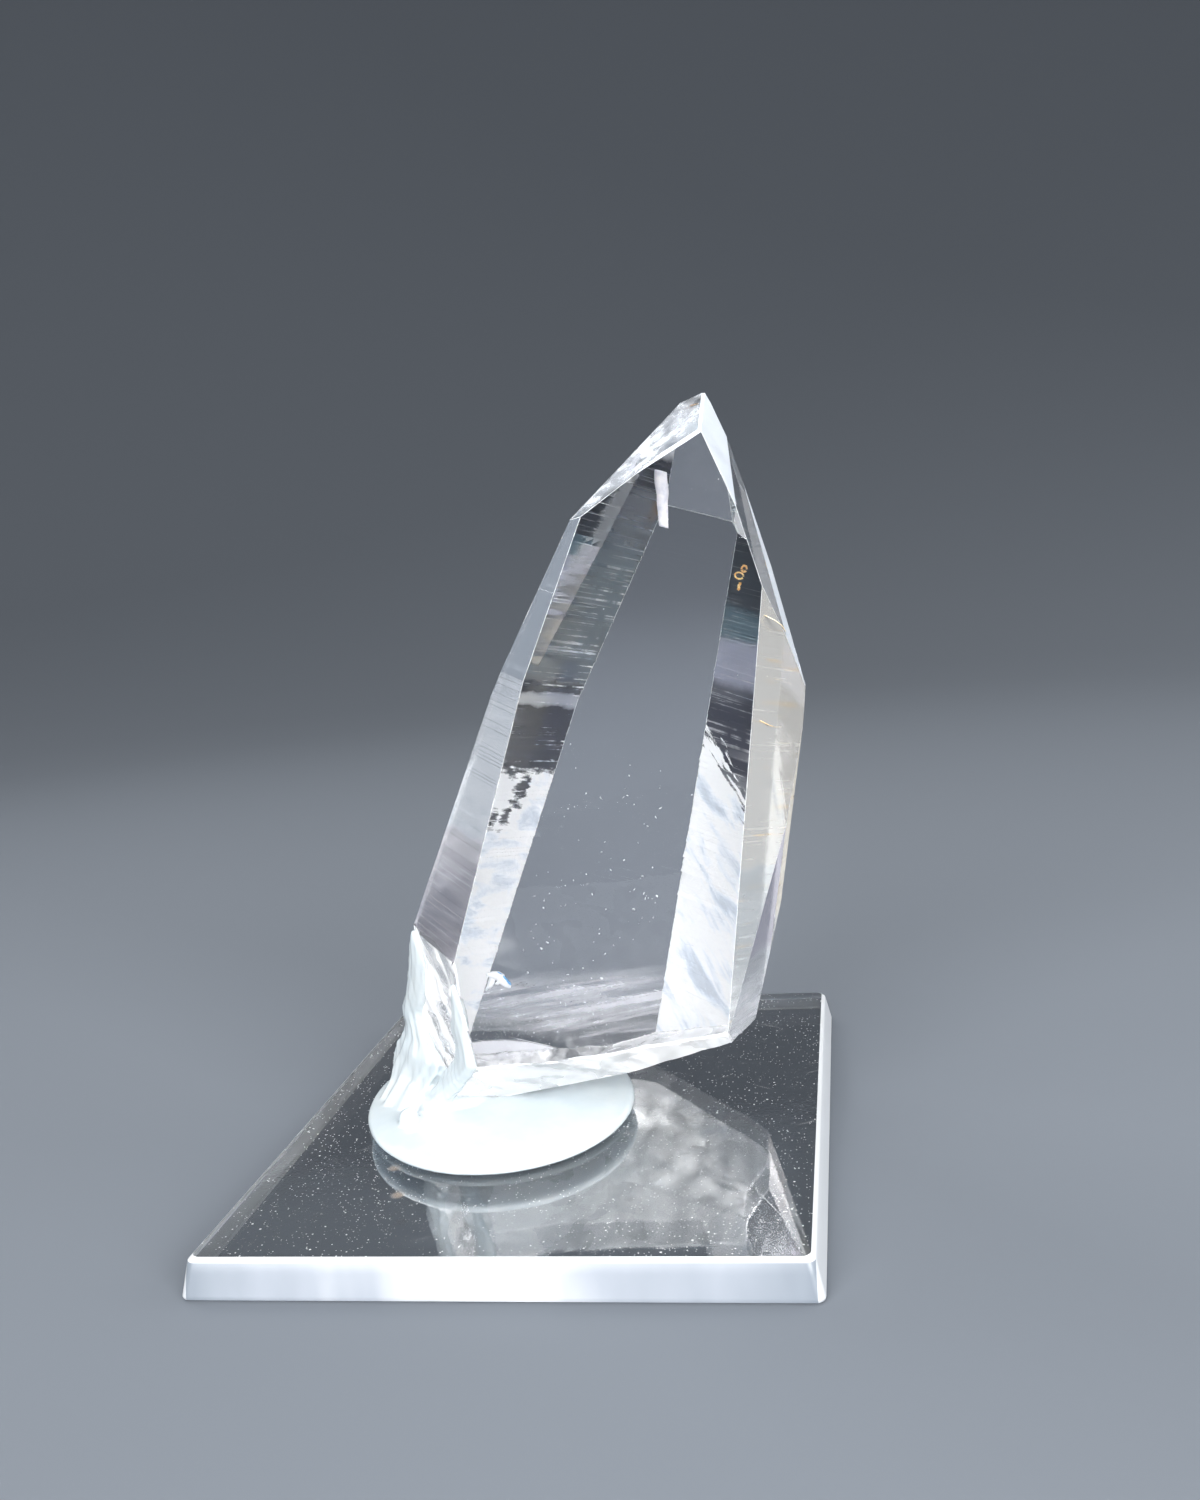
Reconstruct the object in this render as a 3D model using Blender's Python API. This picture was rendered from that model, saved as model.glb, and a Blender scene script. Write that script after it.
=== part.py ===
"""A lemurian quartz crystal standing on an oval pad of milky glue, on a clear acrylic plate.

Metres, +Z up, the front towards -Y. The origin is at the middle of the underside of the whole
object. The crystal is one grown piece: it is cut from a block by one flat cut for each of its
natural faces, and by a few more for the broken foot. Its own axis is the prism axis, and each face
is given by the azimuth of its normal (0 at the front, 90 at the right), by how far the normal rises
above the level of the prism, and by its distance from the middle of the crystal.
"""

from math import cos, pi, radians, sin

import bmesh
import bpy
from mathutils import Matrix, Vector

# ---- the acrylic plate ----------------------------------------------------------------------
PLATE_WIDTH = 0.0500  # top face, along X
PLATE_DEPTH = 0.0600  # top face, along Y
PLATE_THICK = 0.0033
PLATE_DRAFT = 0.00067  # how far each edge stands out further at the bottom
PLATE_CORNER_R = 0.0014  # upright corners
PLATE_EDGE_R = 0.00055  # rounded top edge
PLATE_FOOT_R = 0.00025  # small break of the bottom edge
PLATE_X = -0.00031  # the crystal overhangs the plate a little at the right
CORNER_STEPS = 6
EDGE_STEPS = 4

# ---- the glue pad ---------------------------------------------------------------------------
GAP = 0.0003  # between touching pieces
PAD_CENTRE = (-0.00630, -0.00060)
PAD_LONG = 0.0160  # half of the long axis
PAD_SHORT = 0.0131  # half of the short axis
PAD_TURN = radians(-68.1)  # direction of the long axis
PAD_RISE = 0.0017  # height of the middle above the underside
PAD_RIM = 0.00075  # height of the round rim
PAD_STEPS = 72
PAD_RINGS = 14
COLLAR_CENTRE = (-0.01285, -0.0022)  # where the glue climbs the foot of the crystal
COLLAR_HEIGHT = 0.0085
COLLAR_LONG = 0.0063  # its reach along the front
COLLAR_SHORT = 0.0058

# ---- the crystal ----------------------------------------------------------------------------
CRYSTAL_AT = (0.00522, 0.00063, 0.02310)  # its middle, from which the faces are measured
CRYSTAL_LEAN = radians(19.0)  # the prism axis leans to the right
CRYSTAL_TURN = radians(10.46)  # the whole crystal is turned on the plate
BLOCK = 0.12  # the block that the faces are cut from
# name: (azimuth and rise of the normal in degrees, distance in millimetres)
PRISM_FACES = {
    "front": (0.0, 2.0, 9.0),
    "right_front": (55.0, 9.3, 14.95),
    "right_front_low": (64.0, 5.8, 15.35),
    "right_edge": (72.0, 6.7, 16.1),
    "right_edge_low": (79.0, 2.6, 16.7),
    "right_back": (130.0, 10.0, 14.95),
    "back": (180.0, 9.0, 14.0),
    "left_back_high": (243.7, 12.98, 14.47),
    "left_back_low": (243.7, 7.66, 13.06),
    "left_front_high": (303.0, 6.0, 16.35),
    "left_front_low": (303.0, 1.5, 14.9),
}
POINT_FACES = {
    "tip_front_left": (296.34, 41.16, 32.858),
    "tip_front_right": (66.85, 37.61, 27.758),
    "tip_right": (73.5, 32.1, 24.4),
    "tip_right_edge": (76.5, 31.5, 24.25),
    "tip_right_back": (118.0, 36.9, 28.15),
    "tip_back": (180.0, 35.0, 28.2),
    "tip_left": (291.5, 37.3, 30.7),
}
BROKEN_FACES = {
    "break_left": (301.0, -21.2, 16.55),
    "break_foot": (107.5, -71.0, 19.2),
    "break_front_left": (22.5, -49.7, 15.5),
    "break_front_middle": (24.5, -43.4, 15.1),
    "break_front_right": (16.5, -32.3, 14.55),
    "break_under": (81.5, -59.2, 15.8),
    "break_right": (76.0, -54.9, 15.9),
}


def clear_scene():
    for obj in list(bpy.data.objects):
        bpy.data.objects.remove(obj, do_unlink=True)


def material(name, colour, rough, transmission=0.0, ior=1.5):
    mat = bpy.data.materials.new(name)
    mat.use_nodes = True
    bsdf = mat.node_tree.nodes["Principled BSDF"]
    bsdf.inputs["Base Color"].default_value = (*colour, 1.0)
    bsdf.inputs["Roughness"].default_value = rough
    bsdf.inputs["Metallic"].default_value = 0.0
    bsdf.inputs["Transmission Weight"].default_value = transmission
    bsdf.inputs["IOR"].default_value = ior
    mat.diffuse_color = (*colour, 1.0)
    return mat


def add_object(name, bm, mat, location=(0.0, 0.0, 0.0), rotation=(0.0, 0.0, 0.0)):
    mesh = bpy.data.meshes.new(name)
    bmesh.ops.recalc_face_normals(bm, faces=bm.faces)
    bm.to_mesh(mesh)
    bm.free()
    mesh.materials.append(mat)
    obj = bpy.data.objects.new(name, mesh)
    obj.location = location
    obj.rotation_euler = rotation
    bpy.context.scene.collection.objects.link(obj)
    return obj


def loft(rings):
    """A closed body through rings of points, each with the same count, with flat ends."""
    bm = bmesh.new()
    rows = [[bm.verts.new(p) for p in ring] for ring in rings]
    count = len(rows[0])
    for low, high in zip(rows, rows[1:]):
        for i in range(count):
            j = (i + 1) % count
            bm.faces.new((low[i], low[j], high[j], high[i]))
    bm.faces.new(list(reversed(rows[0])))
    bm.faces.new(rows[-1])
    return bm


def rounded_rectangle(half_x, half_y, radius, z):
    points = []
    for quarter, (sx, sy) in enumerate(((1, 1), (-1, 1), (-1, -1), (1, -1))):
        for step in range(CORNER_STEPS + 1):
            a = pi / 2 * (quarter + step / CORNER_STEPS)
            points.append(
                (
                    sx * (half_x - radius) + radius * cos(a),
                    sy * (half_y - radius) + radius * sin(a),
                    z,
                )
            )
    return points


def plate():
    """A slab with slightly sloping sides, rounded upright corners and a rounded top edge."""
    levels = [(PLATE_FOOT_R, 0.0), (0.0, PLATE_FOOT_R)]
    for step in range(EDGE_STEPS + 1):
        a = pi / 2 * step / EDGE_STEPS
        levels.append(
            (
                PLATE_EDGE_R * (1 - cos(a)),
                PLATE_THICK - PLATE_EDGE_R * (1 - sin(a)),
            )
        )
    rings = []
    for inset, z in levels:
        out = PLATE_DRAFT * (1 - z / PLATE_THICK) - inset
        rings.append(
            rounded_rectangle(
                PLATE_WIDTH / 2 + out, PLATE_DEPTH / 2 + out, PLATE_CORNER_R, z
            )
        )
    mat = material("clear_acrylic", (0.86, 0.89, 0.92), 0.04, 1.0, 1.49)
    return add_object("base_plate", loft(rings), mat, location=(PLATE_X, 0.0, 0.0))


def crystal_body(grow=0.0):
    """The block with every face cut; grow moves each cut outwards."""
    bm = bmesh.new()
    bmesh.ops.create_cube(bm, size=2 * BLOCK)
    for faces in (PRISM_FACES, POINT_FACES, BROKEN_FACES):
        for azimuth, rise, distance in faces.values():
            a, e = radians(azimuth), radians(rise)
            normal = Vector((cos(e) * sin(a), -cos(e) * cos(a), sin(e)))
            cut = bmesh.ops.bisect_plane(
                bm,
                geom=list(bm.verts) + list(bm.edges) + list(bm.faces),
                dist=1e-7,
                plane_co=normal * (distance / 1000 + grow),
                plane_no=normal,
                clear_outer=True,
            )
            edges = [e for e in cut["geom_cut"] if isinstance(e, bmesh.types.BMEdge)]
            bmesh.ops.edgeloop_fill(bm, edges=edges)
    return bm


def crystal():
    mat = material("clear_quartz", (0.93, 0.94, 0.97), 0.03, 1.0, 1.544)
    rotation = (0.0, CRYSTAL_LEAN, CRYSTAL_TURN)
    return add_object("crystal", crystal_body(), mat, CRYSTAL_AT, rotation)


def pad_body():
    """An oval puddle with a round rim and a domed top, drawn up into a collar at the foot."""
    turn = Matrix.Rotation(PAD_TURN, 2)

    def ring(share, z):
        points = []
        for step in range(PAD_STEPS):
            a = 2 * pi * step / PAD_STEPS
            # The outline wanders a little from a true oval, as a hand-poured puddle does.
            wander = 1 + 0.010 * cos(2 * a + 0.6) + 0.006 * cos(3 * a + 2.0)
            flat = Vector(
                (
                    PAD_LONG * wander * share * cos(a),
                    PAD_SHORT * wander * share * sin(a),
                )
            )
            flat = turn @ flat
            points.append((flat.x + PAD_CENTRE[0], flat.y + PAD_CENTRE[1], z))
        return points

    def collar(x, y):
        u = (x - COLLAR_CENTRE[0]) / COLLAR_LONG
        v = (y - COLLAR_CENTRE[1]) / COLLAR_SHORT
        d = u * u + v * v
        return COLLAR_HEIGHT * (1 - d) ** 1.8 if d < 1 else 0.0

    floor = PLATE_THICK + GAP
    rings = [ring(0.965, floor), ring(0.992, floor + 0.25 * PAD_RIM)]
    rings.append(ring(1.0, floor + 0.6 * PAD_RIM))
    for k in range(PAD_RINGS):
        share = 0.992 * (1 - k / PAD_RINGS) ** 0.85 if k else 0.985
        z = floor + PAD_RIM + (PAD_RISE - PAD_RIM) * (1 - share**2) ** 0.6
        rings.append([(x, y, z + collar(x, y)) for x, y, _ in ring(share, 0.0)])
    return loft(rings)


def pad(foot):
    mat = material("milky_glue", (0.88, 0.93, 0.96), 0.12)
    obj = add_object("glue_pad", pad_body(), mat)
    # The glue is moulded round the foot: the crystal, larger by the gap all round, is cut away.
    tool = add_object(
        "foot_room",
        crystal_body(GAP),
        mat,
        tuple(foot.location),
        tuple(foot.rotation_euler),
    )
    tool.hide_render = True
    tool.display_type = "WIRE"
    cut = obj.modifiers.new("foot", "BOOLEAN")
    cut.operation = "DIFFERENCE"
    cut.solver = "EXACT"
    cut.object = tool
    return obj


clear_scene()
plate()
stone = crystal()
pad(stone)
bpy.context.view_layer.update()
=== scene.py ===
"""The looks of a lemurian quartz crystal on a glued acrylic display plate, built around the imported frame."""

from math import atan2, cos, exp, pi, radians, sin, sqrt

import bmesh
import bpy
import numpy as np
from mathutils import Matrix, Vector, noise


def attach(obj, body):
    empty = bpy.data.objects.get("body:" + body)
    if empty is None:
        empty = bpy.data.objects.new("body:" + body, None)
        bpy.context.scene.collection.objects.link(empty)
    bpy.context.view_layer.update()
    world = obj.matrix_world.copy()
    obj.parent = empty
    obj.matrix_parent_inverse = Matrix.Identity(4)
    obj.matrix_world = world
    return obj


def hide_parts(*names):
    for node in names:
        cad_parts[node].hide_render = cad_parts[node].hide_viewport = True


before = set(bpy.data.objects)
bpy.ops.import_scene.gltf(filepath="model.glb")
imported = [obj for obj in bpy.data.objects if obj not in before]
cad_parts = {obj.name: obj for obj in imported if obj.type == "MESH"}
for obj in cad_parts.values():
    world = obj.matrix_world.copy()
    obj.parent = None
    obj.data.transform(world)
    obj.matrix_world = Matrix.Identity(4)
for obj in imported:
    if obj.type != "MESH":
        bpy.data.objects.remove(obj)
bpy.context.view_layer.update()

MM = 0.001

# ---------------------------------------------------------------------------------------------
# places, as in the CAD
# ---------------------------------------------------------------------------------------------
PLATE_TOP = 0.0033
CRYSTAL_AT = Vector((0.00522, 0.00063, 0.02310))
CRYSTAL_ROT = (0.0, radians(19.0), radians(10.46))
CRYSTAL_M = Matrix.Translation(CRYSTAL_AT) @ (
    Matrix.Rotation(CRYSTAL_ROT[2], 4, "Z") @ Matrix.Rotation(CRYSTAL_ROT[1], 4, "Y")
)
CRYSTAL_MI = CRYSTAL_M.inverted()

# name: (azimuth, rise, distance mm, finish)
FACETS = {
    "front": (0.0, 2.0, 9.0, "clear"),
    "back": (180.0, 9.0, 14.0, "back"),
    "right_front": (55.0, 9.3, 14.95, "side_right"),
    "right_front_low": (64.0, 5.8, 15.35, "wedge"),
    "right_edge": (72.0, 6.7, 16.1, "rim_right"),
    "right_edge_low": (79.0, 2.6, 16.7, "rim_right"),
    "right_back": (130.0, 10.0, 14.95, "ladder_right"),
    "left_back_high": (243.7, 12.98, 14.47, "ladder_left"),
    "left_back_low": (243.7, 7.66, 13.06, "ladder_left"),
    "left_front_high": (303.0, 6.0, 16.35, "side_left"),
    "left_front_low": (303.0, 1.5, 14.9, "side_left"),
    "tip_front_left": (296.34, 41.16, 32.858, "tip_frost"),
    "tip_front_right": (66.85, 37.61, 27.758, "tip_white"),
    "tip_right": (73.5, 32.1, 24.4, "tip"),
    "tip_right_edge": (76.5, 31.5, 24.18, "tip_white"),
    "tip_right_back": (118.0, 36.9, 28.15, "tip"),
    "tip_back": (180.0, 35.0, 28.2, "tip_back"),
    "tip_left": (291.5, 37.3, 30.7, "tip_frost"),
    "break_left": (301.0, -21.2, 16.55, "broken"),
    "break_foot": (107.5, -71.0, 19.2, "broken"),
    "break_front_left": (22.5, -49.7, 15.5, "broken_grey"),
    "break_front_middle": (24.5, -43.4, 15.1, "broken_low"),
    "break_front_right": (16.5, -32.3, 14.55, "broken_low"),
    "break_under": (81.5, -59.2, 15.8, "broken_low"),
    "break_right": (76.0, -54.9, 15.9, "broken_low"),
}
# Finish of broken faces: how deep their relief is.
BROKEN = {"broken": 1.0, "broken_low": 0.45, "broken_grey": 0.3}
FINISHES = [
    "clear",
    "back",
    "ladder_left",
    "ladder_right",
    "side_left",
    "side_right",
    "wedge",
    "rim_right",
    "tip",
    "tip_back",
    "tip_frost",
    "tip_white",
    "broken",
    "broken_low",
    "broken_grey",
    "edge",
    "gold",
]
BASE_NAMES = list(FACETS)


def facet_normal(name):
    az, el = radians(FACETS[name][0]), radians(FACETS[name][1])
    return Vector((cos(el) * sin(az), -cos(el) * cos(az), sin(el)))


NORMALS = {n: facet_normal(n) for n in BASE_NAMES}
NAMES = list(BASE_NAMES)
SIDES_OF = {}


# ---------------------------------------------------------------------------------------------
# node helpers
# ---------------------------------------------------------------------------------------------
class Nodes:
    """A small builder for one material's nodes."""

    def __init__(self, name):
        self.mat = bpy.data.materials.new(name)
        self.mat.use_nodes = True
        self.tree = self.mat.node_tree
        self.bsdf = self.tree.nodes["Principled BSDF"]

    def new(self, kind, **settings):
        node = self.tree.nodes.new(kind)
        for key, value in settings.items():
            if key.startswith("in_"):
                node.inputs[key[3:].replace("_", " ")].default_value = value
            else:
                setattr(node, key, value)
        return node

    def link(self, a, b):
        self.tree.links.new(a, b)

    def set(self, **values):
        for key, value in values.items():
            self.bsdf.inputs[key.replace("_", " ")].default_value = value

    def coords(self, scale=(1000, 1000, 1000), rotation=(0, 0, 0), location=(0, 0, 0)):
        tc = self.new("ShaderNodeTexCoord")
        mp = self.new("ShaderNodeMapping")
        mp.inputs["Scale"].default_value = scale
        mp.inputs["Rotation"].default_value = rotation
        mp.inputs["Location"].default_value = location
        self.link(tc.outputs["Object"], mp.inputs["Vector"])
        return mp.outputs["Vector"]

    def local(self, scale=(1, 1, 1), rotation=(0, 0, 0), location=(0, 0, 0)):
        """Millimetres in the crystal's own frame, with Z along the prism."""
        at = self.new("ShaderNodeAttribute", attribute_name="quartz_mm").outputs["Vector"]
        if any(rotation):
            turned = self.new("ShaderNodeMapping")
            turned.inputs["Rotation"].default_value = rotation
            self.link(at, turned.inputs["Vector"])
            at = turned.outputs["Vector"]
        mp = self.new("ShaderNodeMapping")
        mp.inputs["Scale"].default_value = scale
        mp.inputs["Location"].default_value = location
        self.link(at, mp.inputs["Vector"])
        return mp.outputs["Vector"]

    def turned(self, angle, scale, seed):
        """Object millimetres in the plane, turned and then stretched."""
        first = self.new("ShaderNodeMapping")
        first.inputs["Rotation"].default_value = (0.0, 0.0, angle)
        self.link(self.coords((1000, 1000, 0)), first.inputs["Vector"])
        second = self.new("ShaderNodeMapping")
        second.inputs["Scale"].default_value = scale
        second.inputs["Location"].default_value = (seed, seed, 0.0)
        self.link(first.outputs["Vector"], second.inputs["Vector"])
        return second.outputs["Vector"]

    def stroke(self, a, b, width):
        """1 on a straight mark from a to b, in object millimetres, and 0 beside it."""
        dx, dy = b[0] - a[0], b[1] - a[1]
        first = self.new("ShaderNodeMapping")
        first.inputs["Location"].default_value = (-a[0], -a[1], 0.0)
        self.link(self.coords((1000, 1000, 0)), first.inputs["Vector"])
        second = self.new("ShaderNodeMapping")
        second.inputs["Rotation"].default_value = (0.0, 0.0, -atan2(dy, dx))
        self.link(first.outputs["Vector"], second.inputs["Vector"])
        axes = self.xyz(second.outputs["Vector"])
        length = sqrt(dx * dx + dy * dy)
        over = self.math("SUBTRACT", self.math("ABSOLUTE", self.math("SUBTRACT", axes["X"], length / 2)), length / 2)
        over = self.math("MAXIMUM", over, 0.0)
        side = self.math("ABSOLUTE", axes["Y"])
        off = self.math("SQRT", self.math("ADD", self.math("MULTIPLY", over, over), self.math("MULTIPLY", side, side)))
        return self.math("MULTIPLY_ADD", off, -2.0 / width, 1.6, clamp=True)

    def xyz(self, vector):
        split = self.new("ShaderNodeSeparateXYZ")
        self.link(vector, split.inputs["Vector"])
        return split.outputs

    def noise(self, vector, scale, detail=4.0, rough=0.5, distortion=0.0):
        n = self.new("ShaderNodeTexNoise")
        n.inputs["Scale"].default_value = scale
        n.inputs["Detail"].default_value = detail
        n.inputs["Roughness"].default_value = rough
        n.inputs["Distortion"].default_value = distortion
        self.link(vector, n.inputs["Vector"])
        return n.outputs["Fac"]

    def ramp(self, fac, stops, mode="LINEAR"):
        r = self.new("ShaderNodeValToRGB")
        r.color_ramp.interpolation = mode
        els = r.color_ramp.elements
        while len(els) < len(stops):
            els.new(0.5)
        for e, (pos, col) in zip(els, stops):
            e.position = pos
            if not hasattr(col, "__len__"):
                col = (col, col, col)
            e.color = (*col, 1.0)
        self.link(fac, r.inputs["Fac"])
        return r.outputs["Color"]

    def math(self, op, a, b=None, c=None, clamp=False):
        m = self.new("ShaderNodeMath", operation=op, use_clamp=clamp)
        for i, v in enumerate((a, b, c)):
            if v is None:
                continue
            if hasattr(v, "is_linked") or hasattr(v, "links"):
                self.link(v, m.inputs[i])
            else:
                m.inputs[i].default_value = v
        return m.outputs[0]

    def bump(self, height, strength, distance, after=None):
        b = self.new("ShaderNodeBump")
        b.inputs["Strength"].default_value = strength
        b.inputs["Distance"].default_value = distance
        self.link(height, b.inputs["Height"])
        if after is not None:
            self.link(after, b.inputs["Normal"])
        return b.outputs["Normal"]


# ---------------------------------------------------------------------------------------------
# materials
# ---------------------------------------------------------------------------------------------
QUARTZ_IOR = 1.544


def quartz(name, rough, rough_spread, transmission, bump, lines=0.0, colour=(0.97, 0.975, 0.985)):
    """Clear quartz whose surface is smeared, lined across the prism or frosted."""
    n = Nodes(name)
    n.set(Base_Color=(*colour, 1.0), Transmission_Weight=transmission, IOR=QUARTZ_IOR)
    smear = n.noise(n.local((0.22, 0.22, 0.9)), 1.0, 5.0, 0.6)
    n.link(n.ramp(smear, [(0.35, rough), (0.75, rough + rough_spread)]), n.bsdf.inputs["Roughness"])
    normal = n.bump(n.noise(n.local(), 1.4, 3.0), bump, 0.0001)
    if lines:
        across = n.noise(n.local((0.12, 0.12, 5.2)), 1.0, 3.0, 0.55)
        normal = n.bump(across, lines, 0.00006, normal)
    n.link(normal, n.bsdf.inputs["Normal"])
    return n.mat


def growth_lines(n, spacing, seed, lean=0.0):
    """Thin lines across the prism, which come and go along their length."""
    thin = n.noise(n.local((0.03, 0.03, spacing), (lean, 0, 0), (seed, 0, 0)), 1.0, 2.0, 0.5)
    line = n.ramp(thin, [(0.585, 0.0), (0.635, 1.0)])
    window = n.noise(n.local((0.30, 0.30, 0.22), location=(seed * 2, 5, 0)), 1.0, 3.0, 0.55)
    return n.math("MULTIPLY", line, n.ramp(window, [(0.44, 0.0), (0.56, 1.0)]))


def ladder(name, frost_below, lean, seed, turn, ragged, shade_band_opacity_stops, shade_band_colour_stops, clear_above, holes, line_share):
    """A striated back face: painted shade in dark, partly opaque bands by height, with a few paler bands of painted
    light, fine white growth lines above, and frosted white below a ragged line."""
    n = Nodes(name)
    n.set(IOR=QUARTZ_IOR)
    axes = n.xyz(n.local())
    warp = n.noise(n.local((0.24, 0.24, 0.34), location=(seed, 0, 0)), 1.0, 4.0, 0.6, 0.5)
    streak = n.noise(n.local((0.30, 0.16, 1.7), (turn, 0.0, 0.0), (seed, 3, 0)), 1.0, 4.0, 0.6)
    level = n.math("SUBTRACT", axes["Z"], frost_below)
    level = n.math("SUBTRACT", level, n.math("MULTIPLY", n.math("SUBTRACT", axes["Y"], 9.0), lean))
    level = n.math("ADD", level, n.math("MULTIPLY", n.math("SUBTRACT", warp, 0.5), 4.0))
    level = n.math("ADD", level, n.math("MULTIPLY", n.math("SUBTRACT", streak, 0.5), ragged))
    frost = n.math("MULTIPLY_ADD", level, -2.0, 0.5, clamp=True)
    # open clear patches in the upper part of the frost
    for (hx, hy, hz), size in holes:
        off = n.new("ShaderNodeVectorMath", operation="DISTANCE")
        n.link(n.local((1, 1, 1)), off.inputs[0])
        off.inputs[1].default_value = (hx, hy, hz)
        near = n.math("ADD", off.outputs["Value"], n.math("MULTIPLY", n.math("SUBTRACT", streak, 0.5), 4.5))
        near = n.math("ADD", near, n.math("MULTIPLY", n.math("SUBTRACT", warp, 0.5), 3.0))
        frost = n.math("MINIMUM", frost, n.math("MULTIPLY_ADD", near, 2.2, -2.2 * size, clamp=True))
    # the painted shade bands follow the height alone
    height = n.math("ADD", axes["Z"], n.math("MULTIPLY", n.math("SUBTRACT", warp, 0.5), 1.6))
    height = n.math("MULTIPLY_ADD", height, 1 / 40.0, -6.0 / 40.0, clamp=True)
    painted_shade_band = n.ramp(height, shade_band_opacity_stops)
    lines = growth_lines(n, 5.0, seed, 0.0)
    more = n.math("MULTIPLY_ADD", axes["Y"], 0.12, 0.25, clamp=True)
    lines = n.math("MULTIPLY", lines, more)
    fewer = n.ramp(height, [(0.30, line_share), (0.42, line_share), (0.62, 0.35 * line_share)])
    lines = n.math("MULTIPLY", lines, fewer)
    cover = n.math("MAXIMUM", frost, n.math("MULTIPLY", lines, 0.85))
    feather = n.noise(n.local((0.20, 0.10, 0.55), (turn, 0.0, 0.0), (0, seed, 0)), 1.0, 4.0, 0.55, 0.4)
    white = n.math("MULTIPLY", cover, n.ramp(feather, [(0.30, 0.62), (0.44, 1.0)]))
    # opacity: the frost, and the painted shade bands where there is no frost
    solid = n.math("MAXIMUM", n.math("MULTIPLY", white, 0.97), n.math("MULTIPLY", painted_shade_band, n.math("SUBTRACT", 1.0, frost)))
    # the upper front corner of the face is clear
    if clear_above:
        side = n.math("MULTIPLY_ADD", axes["Y"], 3.0, -3.0 * clear_above[0], clamp=True)
        high = n.math("MULTIPLY_ADD", axes["Z"], -1.5, 1.5 * clear_above[1], clamp=True)
        solid = n.math("MULTIPLY", solid, n.math("MAXIMUM", side, high))
    n.link(n.math("SUBTRACT", 1.0, solid), n.bsdf.inputs["Transmission Weight"])
    n.link(n.math("MULTIPLY_ADD", cover, 0.66, 0.015), n.bsdf.inputs["Roughness"])
    # base colour: frost white where covered, elsewhere the painted shade band tones
    mix = n.new("ShaderNodeMix", data_type="RGBA")
    n.link(n.math("MULTIPLY", cover, 1.0), mix.inputs[0])
    n.link(n.ramp(height, shade_band_colour_stops), mix.inputs[6])
    n.link(n.ramp(feather, [(0.34, (0.78, 0.86, 0.97)), (0.50, (0.99, 0.995, 1.0))]), mix.inputs[7])
    n.link(mix.outputs[2], n.bsdf.inputs["Base Color"])
    fine = n.noise(n.local((0.12, 0.12, 5.2)), 1.0, 3.0, 0.55)
    normal = n.bump(fine, 0.14, 0.00006)
    crinkle = n.noise(n.local((0.7, 0.5, 0.9), (turn, 0.0, 0.0)), 1.0, 4.0, 0.6, 0.8)
    n.link(n.bump(n.math("MULTIPLY", crinkle, frost), 0.22, 0.0005, normal), n.bsdf.inputs["Normal"])
    return n.mat


def side_face(name, transmission, upper, lower, change_at, seed, gold=0.0):
    """A lightly etched prism face: satin, with faint lines, and another tone low down."""
    n = Nodes(name)
    n.set(IOR=QUARTZ_IOR)
    axes = n.xyz(n.local())
    warp = n.noise(n.local((0.25, 0.25, 0.5), location=(seed, 0, 0)), 1.0, 4.0, 0.6)
    streak = n.noise(n.local((0.12, 0.12, 2.6), (0.12, 0, 0), (seed, 0, 0)), 1.0, 4.0, 0.6)
    level = n.math("ADD", n.math("SUBTRACT", axes["Z"], change_at), n.math("MULTIPLY", n.math("SUBTRACT", warp, 0.5), 4.0))
    low = n.math("MULTIPLY_ADD", level, -0.9, 0.5, clamp=True)
    lowtone = n.math("MULTIPLY_ADD", n.math("SUBTRACT", streak, 0.5), 1.6, low, clamp=True)
    tone = n.math("MULTIPLY", lowtone, low)
    stops = [(0.0, upper), (0.75, lower), (1.0, tuple(0.8 * c for c in lower))]
    colour = n.ramp(tone, stops)
    if gold:
        glint = n.ramp(n.noise(n.local((0.10, 0.10, 1.9), (0.10, 0.12, 0), (seed, 7, 0)), 1.0, 3.0, 0.5), [(0.60, 0.0), (0.70, gold)])
        mix = n.new("ShaderNodeMix", data_type="RGBA")
        n.link(glint, mix.inputs[0])
        n.link(colour, mix.inputs[6])
        mix.inputs[7].default_value = (0.95, 0.70, 0.38, 1.0)
        colour = mix.outputs[2]
    n.link(colour, n.bsdf.inputs["Base Color"])
    lines = growth_lines(n, 3.4, seed + 4.0, 0.0)
    cover = n.math("MULTIPLY", lines, 0.16)
    n.link(n.math("MULTIPLY_ADD", cover, -0.5, transmission), n.bsdf.inputs["Transmission Weight"])
    n.link(n.ramp(warp, [(0.35, 0.08), (0.7, 0.22)]), n.bsdf.inputs["Roughness"])
    n.link(n.bump(streak, 0.05, 0.00006), n.bsdf.inputs["Normal"])
    return n.mat


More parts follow.
